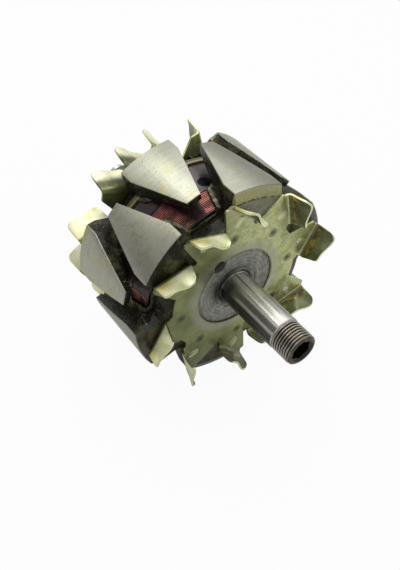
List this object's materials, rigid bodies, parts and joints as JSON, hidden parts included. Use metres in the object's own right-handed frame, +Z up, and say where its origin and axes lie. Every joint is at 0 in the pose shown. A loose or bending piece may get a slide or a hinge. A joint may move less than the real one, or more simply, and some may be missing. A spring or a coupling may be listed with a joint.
{
  "type": "alternator rotor",
  "caption": "Claw pole rotor of a car alternator: interlocking claws round a field coil, a folded sheet fan on each face, a threaded shaft and slip rings.",
  "frame": {"origin": "on the shaft's axis, in the plane of the drive end hub face, where the bearing seat starts", "axes": "+X along the shaft towards the threaded drive end, +Z up as the rotor lies, Y across"},
  "size_m": [0.1605, 0.1104, 0.1104],
  "materials": {
    "shaft_steel": "ground and bright, with fine turned rings",
    "drive_pole_steel": "forged, claws ground on the outside, dark varnish on the flanks",
    "rear_pole_steel": "forged, claws ground on the outside, dark varnish on the flanks",
    "bobbin_plastic": "moulded, yellow green under varnish",
    "winding_copper": "enamelled copper wire under varnish",
    "wrap_sheet": "thin insulating sheet under varnish",
    "fan_sheet": "sheet steel with a yellow passivated plating",
    "sleeve_plastic": "moulded, satin",
    "ring_copper": "turned, with a worn brush track",
    "lead_tube": "woven tube stiff with varnish"
  },
  "bodies": {
    "root": {"shaft": "shaft_steel", "drive_end_pole": "drive_pole_steel", "rear_pole": "rear_pole_steel", "coil_bobbin": "bobbin_plastic", "field_winding": "winding_copper", "winding_wrap": "wrap_sheet", "drive_end_fan": "fan_sheet", "rear_fan": "fan_sheet", "slip_ring_insulator": "sleeve_plastic", "slip_ring_inner": "ring_copper", "slip_ring_outer": "ring_copper", "coil_lead_a": "winding_copper", "coil_lead_b": "winding_copper", "lead_sleeve_a": "lead_tube", "lead_sleeve_b": "lead_tube"}
  },
  "joints": []
}
